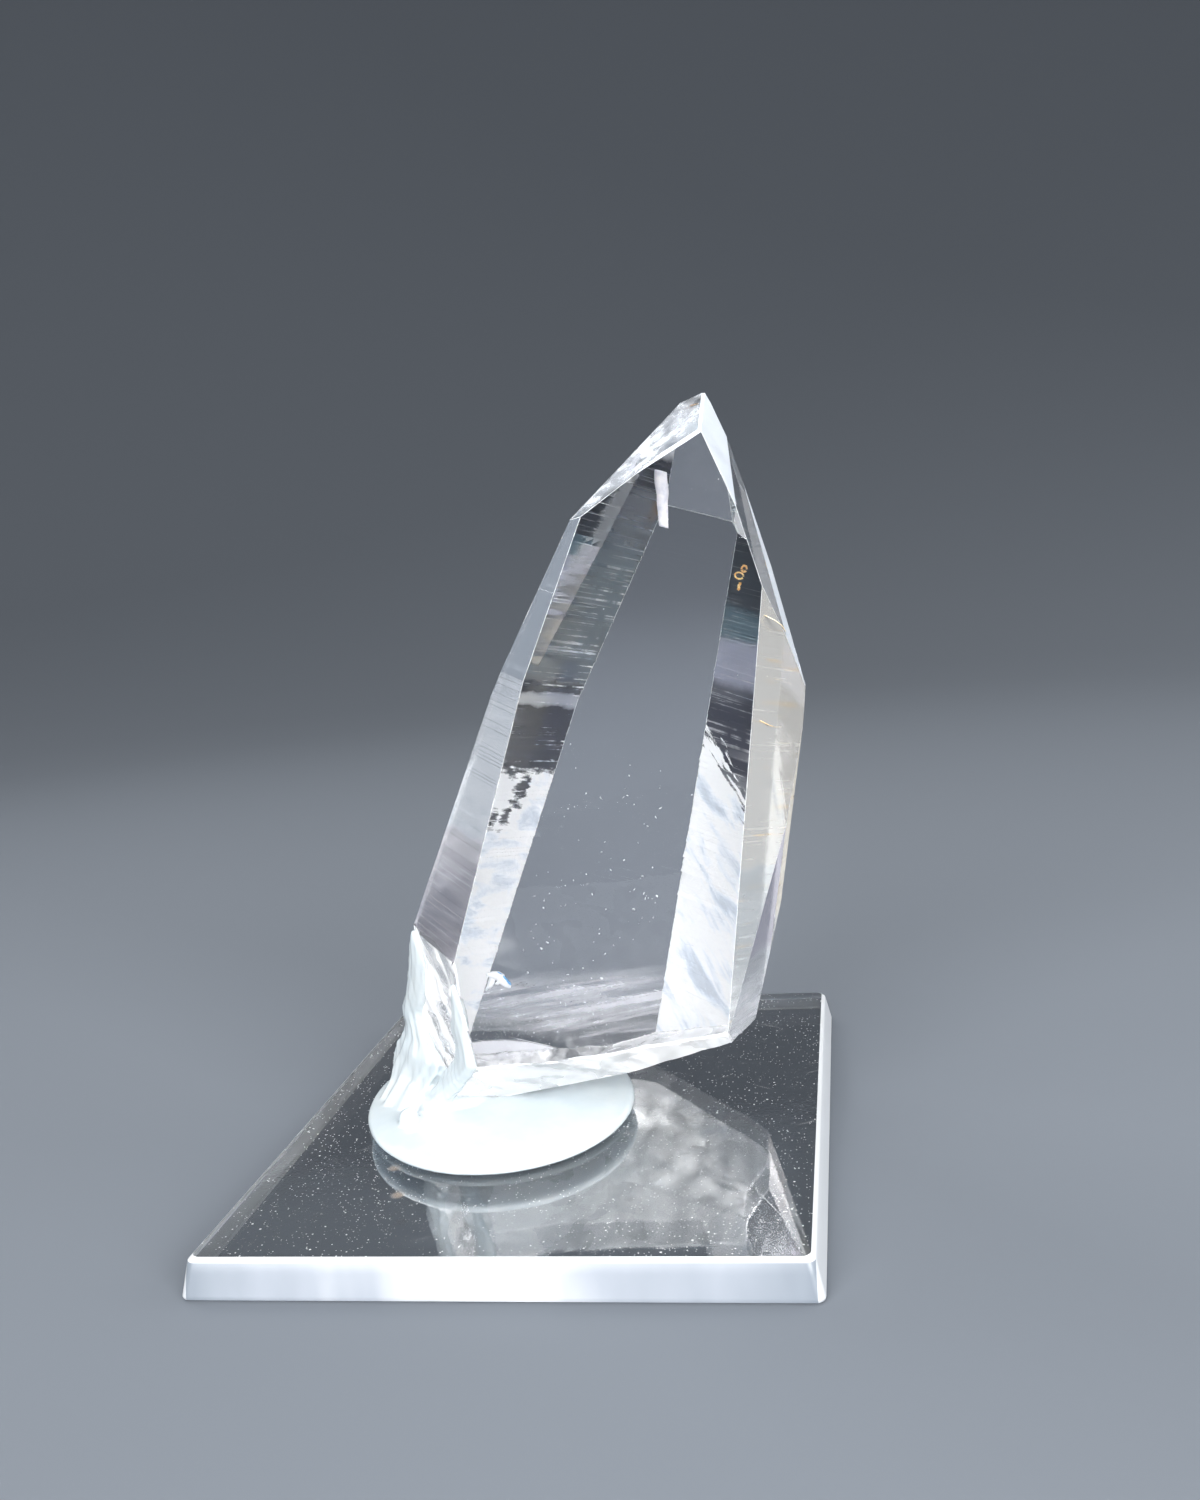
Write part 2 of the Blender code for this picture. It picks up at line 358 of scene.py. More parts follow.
def back_face():
    """The clear back face, with brushed streaks of frosting across its foot, and low down a white rim of painted light
    that stands in for the lit glue seen through the crystal.
    """
    n = Nodes("quartz_back")
    n.set(Base_Color=(0.95, 0.95, 1.0, 1.0), IOR=QUARTZ_IOR)
    axes = n.xyz(n.local())
    streak = n.noise(n.local((0.08, 0.08, 0.95), (0.0, 0.42, 0.0)), 1.0, 5.0, 0.62, 0.35)
    level = n.math("MULTIPLY_ADD", n.math("MULTIPLY_ADD", axes["X"], -0.30, axes["Z"]), -0.42, -3.9, clamp=True)
    low_end = n.math("MULTIPLY_ADD", axes["Z"], 0.5, 8.9, clamp=True)
    veil = n.math("MULTIPLY", level, low_end)
    cover = n.math("MULTIPLY", veil, n.ramp(streak, [(0.36, 0.10), (0.68, 0.92)]))
    # painted light: a white rim that follows the outline of the puddle, standing in for the lit glue seen through the
    # crystal
    bow = n.math("MULTIPLY", n.math("POWER", n.math("ABSOLUTE", n.math("ADD", axes["X"], 3.6)), 2.0), 0.030)
    rim = n.math("MULTIPLY_ADD", n.math("ADD", axes["Z"], n.math("SUBTRACT", bow, n.math("MULTIPLY", axes["X"], 0.12))), -3.0, -53.2, clamp=True)
    cover = n.math("MAXIMUM", cover, rim)
    n.link(n.math("MULTIPLY_ADD", n.math("MAXIMUM", n.math("MULTIPLY", cover, 0.78), rim), -0.97, 1.0), n.bsdf.inputs["Transmission Weight"])
    n.link(n.math("MULTIPLY", cover, 0.45), n.bsdf.inputs["Roughness"])
    n.link(n.bump(streak, 0.01, 0.0001), n.bsdf.inputs["Normal"])
    return n.mat


def broken_quartz(name, frosted, clear, ribbed):
    """The break: white where it is frosted and clear in wide patches between."""
    n = Nodes(name)
    n.set(Base_Color=(0.98, 0.985, 0.99, 1.0), IOR=QUARTZ_IOR)
    patch = n.noise(n.local((0.16, 0.16, 0.24)), 1.0, 2.0, 0.5, 0.4)
    off = n.new("ShaderNodeVectorMath", operation="DISTANCE")
    n.link(n.local((1, 1, 1)), off.inputs[0])
    off.inputs[1].default_value = (-22.0, 12.0, -26.0)
    bent = n.noise(n.local((0.12, 0.12, 0.12)), 1.0, 3.0, 0.55)
    wave = n.math("SINE", n.math("ADD", n.math("MULTIPLY", off.outputs["Value"], 2.3), n.math("MULTIPLY", bent, 16.0)))
    rib = n.ramp(n.math("MULTIPLY_ADD", wave, 0.5, 0.5), [(0.45, 0.0), (0.95, ribbed)])
    n.link(
        n.math("SUBTRACT", n.ramp(patch, [(0.44, frosted), (0.58, clear)]), rib, clamp=True),
        n.bsdf.inputs["Transmission Weight"],
    )
    n.link(n.ramp(patch, [(0.44, 0.40), (0.60, 0.10)]), n.bsdf.inputs["Roughness"])
    ribs = n.noise(n.local((0.2, 0.2, 1.4), rotation=(0.5, 0.35, 0.0)), 1.0, 2.0, 0.5)
    arcs = n.bump(wave, 0.35, 0.00035 * ribbed)
    n.link(n.bump(ribs, 0.10, 0.00012, arcs), n.bsdf.inputs["Normal"])
    return n.mat


def mottled(name, frosted, clear, colour):
    """A tip facet that is frosted in soft patches and clear between them."""
    n = Nodes(name)
    n.set(Base_Color=(*colour, 1.0), IOR=QUARTZ_IOR)
    patch = n.noise(n.local((0.34, 0.34, 0.18), (0.0, 0.7, 0.0)), 1.0, 3.0, 0.55, 0.3)
    n.link(n.ramp(patch, [(0.40, clear), (0.60, frosted)]), n.bsdf.inputs["Transmission Weight"])
    n.link(n.ramp(patch, [(0.40, 0.03), (0.60, 0.35)]), n.bsdf.inputs["Roughness"])
    n.link(n.bump(patch, 0.05, 0.0001), n.bsdf.inputs["Normal"])
    return n.mat


MATS = {
    "clear": quartz("quartz_clear", 0.0, 0.015, 1.0, 0.01, 0.02),
    "back": back_face(),
    "ladder_left": ladder(
        "quartz_ladder_left",
        9.9,
        0.0,
        1.0,
        0.1,
        3.5,
        # painted shade: opacity, then colour, of the dark bands up the face, with paler painted-light bands among them
        [(0.0, 0.96), (0.262, 0.96), (0.276, 0.45), (0.292, 0.45), (0.300, 0.92), (0.322, 0.92), (0.338, 0.82), (0.60, 0.82), (0.875, 0.90), (0.895, 0.93)],
        [(0.0, (0.02, 0.022, 0.035)), (0.262, (0.02, 0.022, 0.035)), (0.276, (0.50, 0.53, 0.60)), (0.292, (0.50, 0.53, 0.60)), (0.300, (0.03, 0.035, 0.05)), (0.322, (0.04, 0.045, 0.06)), (0.345, (0.060, 0.085, 0.11)), (0.62, (0.05, 0.08, 0.10)), (0.75, (0.035, 0.04, 0.06)), (0.875, (0.035, 0.04, 0.06)), (0.895, (0.92, 0.95, 0.98))],
        (0.7, 21.0),
        [((-10.4, 8.0, 8.0), 1.5), ((-11.6, 4.2, 5.0), 0.6), ((-11.0, 7.0, 5.2), 0.8)],
        1.0,
    ),
    "ladder_right": ladder(
        "quartz_ladder_right",
        14.6,
        1.3,
        6.0,
        -0.785,
        11.0,
        # painted shade: opacity, then colour, of the dark bands up the face, with one paler painted-light band
        [(0.0, 0.90), (0.400, 0.92), (0.425, 0.62), (0.505, 0.55), (0.525, 0.70), (0.575, 0.72), (0.60, 0.90), (1.0, 0.92)],
        [(0.0, (0.04, 0.04, 0.06)), (0.400, (0.03, 0.033, 0.05)), (0.425, (0.34, 0.34, 0.44)), (0.505, (0.34, 0.34, 0.44)), (0.525, (0.07, 0.12, 0.15)), (0.575, (0.07, 0.12, 0.15)), (0.60, (0.03, 0.035, 0.045)), (1.0, (0.03, 0.035, 0.045))],
        None,
        [],
        0.4,
    ),
    "side_left": side_face("quartz_side_left", 0.88, (0.60, 0.66, 0.73), (0.56, 0.54, 0.60), 5.0, 2.0),
    "side_right": side_face("quartz_side_right", 0.70, (0.74, 0.72, 0.67), (0.74, 0.77, 0.77), 8.0, 5.0, 0.5),
    "wedge": side_face("quartz_wedge", 0.85, (0.50, 0.47, 0.55), (0.78, 0.80, 0.82), 0.0, 9.0),
    "rim_right": side_face("quartz_rim_right", 0.45, (0.90, 0.84, 0.71), (0.85, 0.83, 0.79), 3.0, 12.0, 0.45),
    "tip": quartz("quartz_tip", 0.01, 0.08, 0.97, 0.03),
    # painted shade: the grey base colour darkens the bright view through the back tip facet
    "tip_back": quartz("quartz_tip_back_painted_shade", 0.01, 0.04, 1.0, 0.02, colour=(0.46, 0.48, 0.54)),
    "tip_frost": mottled("quartz_tip_frost", 0.55, 0.93, (0.80, 0.85, 0.92)),
    "tip_white": quartz("quartz_tip_white", 0.30, 0.20, 0.35, 0.05, colour=(0.66, 0.71, 0.77)),
    "broken": broken_quartz("quartz_broken", 0.42, 0.80, 0.42),
    "broken_low": broken_quartz("quartz_broken_low", 0.25, 0.50, 0.2),
    "broken_grey": broken_quartz("quartz_broken_grey", 0.38, 0.64, 0.0),
    "gold": quartz("quartz_gold", 0.25, 0.2, 0.30, 0.05, colour=(0.93, 0.70, 0.44)),
    "edge": quartz("quartz_edge", 0.22, 0.2, 0.62, 0.05),
}


# ---------------------------------------------------------------------------------------------
# the crystal
# ---------------------------------------------------------------------------------------------
def cut_to_plane(bm, normal, distance, index):
    cut = bmesh.ops.bisect_plane(
        bm,
        geom=list(bm.verts) + list(bm.edges) + list(bm.faces),
        dist=1e-5,
        plane_co=normal * distance,
        plane_no=normal,
        clear_outer=True,
    )
    edges = [e for e in cut["geom_cut"] if isinstance(e, bmesh.types.BMEdge)]
    if len(edges) < 3:
        return
    made = bmesh.ops.edgeloop_fill(bm, edges=edges)
    for f in made["faces"]:
        f.material_index = index


def crystal_block():
    """The crystal as flat facets with narrow worn edges, in millimetres in its own frame, with the
    facet in material_index."""
    bm = bmesh.new()
    bmesh.ops.create_cube(bm, size=240.0)
    for index, name in enumerate(BASE_NAMES):
        cut_to_plane(bm, NORMALS[name], FACETS[name][2], index)
    bmesh.ops.recalc_face_normals(bm, faces=bm.faces)
    worn = []
    for e in bm.edges:
        if len(e.link_faces) != 2 or e.calc_length() < 0.5:
            continue
        a, b = sorted(BASE_NAMES[f.material_index] for f in e.link_faces)
        na, nb = NORMALS[a], NORMALS[b]
        angle = na.angle(nb)
        if angle < radians(9) or a == b:
            continue
        rough_side = FACETS[a][3] in BROKEN or FACETS[b][3] in BROKEN
        width = 0.20 if rough_side else 0.05
        finish = "broken" if rough_side else "edge"
        if "tip_front_left" in (a, b) and not rough_side:
            width, finish = 0.42, "tip_white"
        if "right_back" in (a, b) and ("right_edge" in (a, b) or "right_edge_low" in (a, b)):
            width, finish = 0.26, "gold"
        sum_n = na + nb
        at_edge = (FACETS[a][2] + FACETS[b][2]) / sum_n.length
        depth = width * abs(sin(angle / 2) / cos(angle / 2)) / 2
        depth = min(depth, 0.16)
        worn.append((a, b, sum_n.normalized(), at_edge - depth, finish))
    for a, b, normal, distance, finish in worn:
        name = a + "/" + b
        if name in NORMALS:
            continue
        NORMALS[name] = normal
        FACETS[name] = (0.0, 0.0, distance, finish)
        NAMES.append(name)
        SIDES_OF[name] = (a, b)
        cut_to_plane(bm, normal, distance, NAMES.index(name))
    bmesh.ops.recalc_face_normals(bm, faces=bm.faces)
    return bm


def slice_facets(bm, indices, origin, normal):
    """Cuts only the faces of those facets by one plane."""
    faces = [f for f in bm.faces if f.material_index in indices]
    edges = {e for f in faces for e in f.edges}
    verts = {v for f in faces for v in f.verts}
    bmesh.ops.bisect_plane(
        bm,
        geom=list(verts) + list(edges) + faces,
        dist=1e-5,
        plane_co=origin,
        plane_no=normal,
    )


def ground(seed, count):
    rng = np.random.default_rng(seed)
    return rng.random(count)


def step_heights(low, high, seed):
    """Heights of the growth steps up the prism, close together in some zones and wide apart in others."""
    rng = np.random.default_rng(seed)
    h, out = low, []
    while h < high:
        dense = 0.5 + 0.5 * noise.noise(Vector((h * 0.16, 3.7, 0.0)))
        gap = 0.22 + (1.5 * dense**2) * (0.25 + rng.random())
        h += gap
        out.append(h)
    return out


STEPS = step_heights(-24.0, 44.0, 5)
STEP_RNG = np.random.default_rng(11)
STEP_SIZE = {}
for _name in BASE_NAMES:
    STEP_SIZE[_name] = STEP_RNG.random((len(STEPS), 4))
STEP_GAIN = {
    "front": 0.0015,
    "back": 0.001,
    "right_front": 0.006,
    "right_front_low": 0.006,
    "right_edge": 0.006,
    "right_edge_low": 0.006,
    "right_back": 0.045,
    "left_back_high": 0.055,
    "left_back_low": 0.040,
    "left_front_high": 0.008,
    "left_front_low": 0.010,
}
RISER = 0.05


def step_depth(name, u, h):
    """How far the surface lies inside the facet's plane, at u across it and h up the prism."""
    gain = STEP_GAIN.get(name, 0.0)
    if not gain:
        return 0.0
    i = int(np.searchsorted(STEPS, h + 1e-4)) - 1
    if i < 0 or i + 1 >= len(STEPS):
        return 0.0
    low, high = STEPS[i] + RISER, STEPS[i + 1]
    if h < low - 1e-3:
        return 0.0
    share = max(0.0, min(1.0, (high - h) / max(high - low, 1e-6)))
    a, b, c, d = STEP_SIZE[name][i]
    size = gain * (0.15 + 1.7 * a**3)
    # Most steps fade out part of the way across.
    middle, half = -14 + 28 * b, 4 + 16 * c
    window = 1.0 / (1.0 + exp((abs(u - middle) - half) / 0.9))
    return size * window * share * min(1.5, 0.5 + (high - low))


def crystal_mesh():
    bm = crystal_block()
    prism = [i for i, n in enumerate(NAMES) if n in STEP_GAIN]
    for i in prism:
        name = NAMES[i]
        az = radians(FACETS[name][0])
        across = Vector((cos(az), sin(az), 0.0))
        us = [across.dot(v.co) for f in bm.faces if f.material_index == i for v in f.verts]
        if not us:
            continue
        low, high = min(us), max(us)
        count = max(1, int((high - low) / 1.4))
        for k in range(1, count):
            u = low + (high - low) * k / count
            slice_facets(bm, {i}, across * u, across)
    zs = [v.co.z for v in bm.verts]
    low, high = min(zs), max(zs)
    for h in STEPS:
        if low < h < high:
            slice_facets(bm, set(prism), Vector((0, 0, h)), Vector((0, 0, 1)))
            slice_facets(bm, set(prism), Vector((0, 0, h + RISER)), Vector((0, 0, 1)))
    # Broken faces get a fine grid.
    for i, name in enumerate(NAMES):
        if FACETS[name][3] not in BROKEN or name in SIDES_OF:
            continue
        nrm = NORMALS[name]
        side = nrm.cross(Vector((0, 0, 1))).normalized()
        up = nrm.cross(side).normalized()
        for direction in (side, up):
            us = [direction.dot(v.co) for f in bm.faces if f.material_index == i for v in f.verts]
            if not us:
                continue
            lo, hi = min(us), max(us)
            count = int((hi - lo) / 0.6)
            for k in range(1, count):
                u = lo + (hi - lo) * k / count
                slice_facets(bm, {i}, direction * u, direction)
    # Move each point inwards from each of its facets.
    moves = []
    for v in bm.verts:
        ids = sorted({f.material_index for f in v.link_faces})
        rows, depth = [], []
        for i in ids:
            name = NAMES[i]
            az = radians(FACETS[name][0])
            u = cos(az) * v.co.x + sin(az) * v.co.y
            if name in SIDES_OF:
                # A worn edge follows its two sides, and is chipped here and there.
                d = 0.0
                for side in SIDES_OF[name]:
                    if side in STEP_GAIN:
                        d += 0.5 * step_depth(side, u, v.co.z)
                    elif FACETS[side][3] in BROKEN:
                        d += 0.5 * broken_depth(side, v.co)
                chip = noise.noise(v.co * 0.9 + Vector((7, 3, 1)))
                d += 0.04 * max(0.0, chip - 0.35)
            elif name in STEP_GAIN:
                d = step_depth(name, u, v.co.z)
            elif FACETS[name][3] in BROKEN:
                d = broken_depth(name, v.co)
            else:
                d = 0.0
            rows.append(NORMALS[name])
            depth.append(-d)
        if not any(depth):
            continue
        A = np.array([list(r) for r in rows])
        move, *_ = np.linalg.lstsq(A, np.array(depth), rcond=1e-3)
        moves.append((v, Vector(move)))
    for v, m in moves:
        if m.length > 0.9:
            m = m.normalized() * 0.9
        v.co += m
    finish = {n: FINISHES.index(FACETS[n][3]) for n in NAMES}
    for f in bm.faces:
        f.material_index = finish[NAMES[f.material_index]]
        f.smooth = False
    bmesh.ops.triangulate(bm, faces=bm.faces, quad_method="BEAUTY", ngon_method="BEAUTY")
    bmesh.ops.recalc_face_normals(bm, faces=bm.faces)
    to_crystal_place(bm)
    return bm


def to_crystal_place(bm):
    """From millimetres in the crystal's frame to metres in the row frame, keeping the former as an attribute."""
    own = bm.verts.layers.float_vector.new("quartz_mm")
    for v in bm.verts:
        v[own] = v.co
        v.co = CRYSTAL_M @ (v.co * MM)


def broken_depth(name, co):
    """Curved ribs of a shell-like break, over low rolling ground."""
    centre = Vector((-22.0, 12.0, -26.0))
    r = (co - centre).length + 1.6 * noise.noise(co * 0.16)
    rib = 0.5 + 0.5 * sin(r * 1.7)
    rough = 0.5 + 0.5 * noise.noise(co * 0.38 + Vector((5, 1, 2)))
    return BROKEN[FACETS[name][3]] * (0.16 * rib**3 + 0.36 * rough)


def add_mesh(name, bm, materials, matrix=None):
    mesh = bpy.data.meshes.new(name)
    bm.to_mesh(mesh)
    bm.free()
    for m in materials:
        mesh.materials.append(m)
    obj = bpy.data.objects.new(name, mesh)
    if matrix is not None:
        obj.matrix_world = matrix
    bpy.context.scene.collection.objects.link(obj)
    return obj


stone = add_mesh("quartz_point", crystal_mesh(), [MATS[f] for f in FINISHES])
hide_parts("crystal")
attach(stone, "root")


# ---------------------------------------------------------------------------------------------
# the acrylic plate
# ---------------------------------------------------------------------------------------------
PLATE_AT = Vector((-0.00031, 0.0, 0.0))
PLATE_HALF = (0.0250, 0.0300)
PLATE_DRAFT = 0.00067


def acrylic_face():
    """Polished acrylic with dust specks, hairline scratches, a long scratch and two rust spots."""
    n = Nodes("acrylic_face")
    n.set(IOR=1.49)
    at = n.coords()
    marks = None
    for cells, size, share, seed in ((0.62, 0.066, 0.65, 3.0), (1.15, 0.088, 0.65, 11.0), (1.9, 0.112, 0.60, 17.0), (3.0, 0.14, 0.50, 29.0), (0.24, 0.034, 0.6, 23.0)):
        dots = n.new("ShaderNodeTexVoronoi", in_Scale=cells)
        dots.inputs["Randomness"].default_value = 1.0
        n.link(n.coords((1000, 1000, 0), location=(seed, seed * 1.7, 0)), dots.inputs["Vector"])
        near = n.math("LESS_THAN", dots.outputs["Distance"], size)
        split = n.new("ShaderNodeSeparateColor")
        n.link(dots.outputs["Color"], split.inputs["Color"])
        dot = n.math("MULTIPLY", near, n.math("LESS_THAN", split.outputs["Red"], share))
        marks = dot if marks is None else n.math("MAXIMUM", marks, dot)
    dusty = n.noise(n.coords((1000, 1000, 0)), 0.10, 3.0, 0.6)
    marks = n.math("MULTIPLY", marks, n.ramp(dusty, [(0.36, 0.22), (0.56, 1.0)]))
    for turn, seed in ((0.6, 2.0), (-0.5, 9.0)):
        long = n.turned(turn, (0.09, 2.6, 0.0), seed)
        line = n.noise(long, 1.0, 1.0, 0.4)
        window = n.noise(n.coords((1000, 1000, 0), location=(seed, 0, 0)), 0.16, 2.0)
        one = n.math("MULTIPLY", n.ramp(line, [(0.72, 0.0), (0.74, 0.22)]), n.ramp(window, [(0.50, 0.0), (0.62, 1.0)]))
        marks = n.math("MAXIMUM", marks, one)
    for a, b, width in (((20.1, -19.2), (23.4, -25.6), 0.08), ((13.0, -13.0), (14.6, -16.2), 0.05)):
        marks = n.math("MAXIMUM", marks, n.math("MULTIPLY", n.stroke(a, b, width), 0.35))
    on_top = n.math("GREATER_THAN", n.xyz(at)["Z"], 1.6)
    marks = n.math("MULTIPLY", marks, on_top)
    rust = n.math("MAXIMUM", n.stroke((-12.6, -14.2), (-12.5, -14.3), 0.9), n.stroke((-10.6, -19.4), (-10.5, -19.5), 0.9))
    rust = n.math("MULTIPLY", n.math("MULTIPLY", rust, 0.55), on_top)
    marks = n.math("MAXIMUM", marks, n.math("MULTIPLY", rust, 0.55))
    n.link(n.math("MULTIPLY_ADD", marks, -0.6, 1.0), n.bsdf.inputs["Transmission Weight"])
    scuff = n.noise(at, 0.35, 6.0, 0.65)
    soft = n.ramp(scuff, [(0.5, 0.0), (0.85, 0.08)])
    n.link(n.math("MAXIMUM", soft, n.math("MULTIPLY", marks, 0.5)), n.bsdf.inputs["Roughness"])
    n.link(n.bump(n.noise(at, 3.2, 2.0, 0.5), 0.02, 0.0001), n.bsdf.inputs["Normal"])
    n.link(n.ramp(rust, [(0.0, (0.975, 0.985, 0.99)), (1.0, (0.62, 0.36, 0.16))]), n.bsdf.inputs["Base Color"])
    return n.mat


def acrylic_under():
    """The bright underside, which mirrors what stands on the sheet."""
    n = Nodes("acrylic_under")
    n.set(IOR=1.62, Transmission_Weight=1.0, Roughness=0.0, Base_Color=(0.975, 0.985, 0.99, 1.0))
    return n.mat


def acrylic_edge():
    """The sawn and buffed edges, frosted white, in patchy tone with painted light: lighter towards the middle of each
    side, on the top chamfer band and on the left and right sides.
    """
    n = Nodes("acrylic_edge")
    n.set(IOR=1.49, Transmission_Weight=0.30, Roughness=0.35)
    axes = n.xyz(n.coords())
    patch = n.noise(n.coords((1000, 1000, 300)), 0.13, 3.0, 0.55)
    # painted light: lighter towards the middle of each side
    middle = n.math("MULTIPLY_ADD", n.math("ABSOLUTE", n.math("ADD", axes["X"], 1.0)), -0.034, 0.92)
    tone_and_painted_glow = n.math("MULTIPLY_ADD", n.math("SUBTRACT", patch, 0.5), 1.1, middle, clamp=True)
    # painted light: the band along the top and the left and right sides are lighter
    worn = n.math("GREATER_THAN", axes["Z"], 2.97)
    sides = n.math("GREATER_THAN", n.math("ABSOLUTE", axes["X"]), 25.02)
    tone_and_painted_glow = n.math("MAXIMUM", tone_and_painted_glow, n.math("MAXIMUM", worn, n.math("MULTIPLY", sides, 0.85)))
    n.link(
        n.ramp(tone_and_painted_glow, [(0.0, (0.20, 0.23, 0.27)), (0.5, (0.33, 0.36, 0.41)), (1.0, (0.66, 0.68, 0.70))]),
        n.bsdf.inputs["Base Color"],
    )
    return n.mat


def rounded_rectangle(half_x, half_y, radius, z, steps=14):
    points = []
    for quarter, (sx, sy) in enumerate(((1, 1), (-1, 1), (-1, -1), (1, -1))):
        for step in range(steps + 1):
            a = pi / 2 * (quarter + step / steps)
            points.append(
                (
                    sx * (half_x - radius) + radius * cos(a),
                    sy * (half_y - radius) + radius * sin(a),
                    z,
                )
            )
    return points


def loft(rings, cap_ends=True):
    bm = bmesh.new()
    rows = [[bm.verts.new(p) for p in ring] for ring in rings]
    count = len(rows[0])
    for low, high in zip(rows, rows[1:]):
        for i in range(count):
            j = (i + 1) % count
            bm.faces.new((low[i], low[j], high[j], high[i]))
    if cap_ends:
        bm.faces.new(list(reversed(rows[0])))
        bm.faces.new(rows[-1])
    return bm


def plate_body():
    """The sheet with a flat chamfer round its top edge, whose two borders are worn round; the edge finish paints the
    chamfer light.
    """
    top, bevel, worn = PLATE_TOP, 0.00030, 0.00005
    levels = [(0.00024, 0.0), (0.00008, 0.00007), (0.0, 0.00024)]
    levels += [(0.0, top * k / 8) for k in range(1, 6)]
    levels += [(0.0, top - bevel - worn), (worn * 0.4, top - bevel), (bevel - worn, top - worn * 0.4 - worn * 0.2), (bevel, top)]
    rings = []
    for inset, z in levels:
        out = PLATE_DRAFT * (1 - z / top) - inset - 0.00001
        rings.append(
            rounded_rectangle(PLATE_HALF[0] + out, PLATE_HALF[1] + out, 0.0008, z)
        )
    bm = loft(rings)
    bmesh.ops.recalc_face_normals(bm, faces=bm.faces)
    bm.normal_update()
    for f in bm.faces:
        f.smooth = abs(f.normal.z) < 0.999
        f.material_index = 1 if abs(f.normal.z) < 0.999 else (0 if f.normal.z > 0 else 2)
    return bm


plate = add_mesh(
    "acrylic_plate", plate_body(), [acrylic_face(), acrylic_edge(), acrylic_under()], Matrix.Translation(PLATE_AT)
)
plate.data.set_sharp_from_angle(angle=radians(32))
for p in plate.data.polygons:
    if abs(p.normal.z) > 0.999:
        p.use_smooth = False
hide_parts("base_plate")
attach(plate, "root")


# ---------------------------------------------------------------------------------------------
# what is sealed in the crystal
# ---------------------------------------------------------------------------------------------
def sealed_finish(name, light, dark, rough=0.4, scale=0.9, metal=0.0):
    n = Nodes(name)
    n.set(Roughness=rough, Metallic=metal)
    blotch = n.noise(n.local(), scale, 4.0, 0.6)
    n.link(n.ramp(blotch, [(0.38, dark), (0.60, light)]), n.bsdf.inputs["Base Color"])
    n.link(n.bump(blotch, 0.2, 0.0001), n.bsdf.inputs["Normal"])
    return n.mat


def seal(name, bm, mat):
    """Adds a piece given in the crystal's own millimetres."""
    bmesh.ops.recalc_face_normals(bm, faces=bm.faces)
    for f in bm.faces:
        f.smooth = True
    to_crystal_place(bm)
    obj = add_mesh(name, bm, [mat])
    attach(obj, "root")
    return obj


def grain(bm, centre, radius, stretch, rng, detail=1):
    """An uneven little lump, longer along stretch."""
    made = bmesh.ops.create_icosphere(bm, subdivisions=detail, radius=1.0)["verts"]
    axis = Vector(stretch)
    length = axis.length
    axis = axis.normalized() if length else Vector((0, 0, 1))
    shift = Vector(rng.uniform(-50, 50, 3))
    for v in made:
        p = v.co * radius * (1 + 0.35 * noise.noise(v.co * 1.3 + shift))
        v.co = Vector(centre) + p + axis * p.dot(axis) / radius * length


def ribbon(bm, path, widths, thick=0.05, across=(0, 1, 0)):
    """A thin closed strip along path, as wide as widths, lying along across."""
    side = Vector(across).normalized()
    rows = []
    for k, (p, w) in enumerate(zip(path, widths)):
        a = Vector(path[max(k - 1, 0)])
        b = Vector(path[min(k + 1, len(path) - 1)])
        way = (b - a).normalized()
        up = way.cross(side).normalized()
        p = Vector(p)
        rows.append([bm.verts.new(p + side * (su * w / 2) + up * (sv * thick / 2)) for su, sv in ((1, 1), (-1, 1), (-1, -1), (1, -1))])
    for a, b in zip(rows, rows[1:]):
        for i in range(4):
            j = (i + 1) % 4
            bm.faces.new((a[i], a[j], b[j], b[i]))
    bm.faces.new(list(reversed(rows[0])))
    bm.faces.new(rows[-1])


def specks():
    """Tiny white specks, thickest low down in the middle."""
    rng = np.random.default_rng(41)
    bm = bmesh.new()
    for k in range(110):
        z = rng.uniform(-14.0, 14.0) if k % 3 else rng.uniform(-12.0, 2.0)
        at = (rng.uniform(-6.5, 5.5), rng.uniform(-6.5, 7.5), z)
        size = rng.uniform(0.030, 0.065)
        if k % 9 == 0:
            size *= 1.9
        slant = rng.uniform(-1, 1, 3)
        grain(bm, at, size, slant * rng.uniform(0.0, 0.12), rng)
    for at in ((2.6, -1.0, 39.2), (1.0, 0.5, 40.6), (4.0, 0.0, 37.4), (-6.3, -2.0, 27.0), (7.0, 0.0, 24.0)):
        grain(bm, at, 0.06, (0, 0, 0), rng)
    return bm


def tube():
    """The pale hollow tube under the tip."""
    bm = bmesh.new()
    rings = []
    for k in range(25):
        t = k / 24
        c = Vector((-4.2 + 1.5 * t, 1.0 + 0.5 * t, 40.1 - 4.8 * t))
        r = 0.56 + 0.10 * sin(7 * t) * (1 - t) - 0.12 * t**3
        ring = []
        for j in range(20):
            a = 2 * pi * j / 20
            q = 1 + 0.16 * noise.noise(Vector((cos(a), sin(a), t * 4)))
            ring.append(bm.verts.new(c + Vector((cos(a) * r * q, sin(a) * r * 0.55 * q, 0))))
        rings.append(ring)
    for a, b in zip(rings, rings[1:]):
        for j in range(20):
            u = (j + 1) % 20
            bm.faces.new((a[j], a[u], b[u], b[j]))
    bm.faces.new(rings[0])
    bm.faces.new(rings[-1])
    return bm


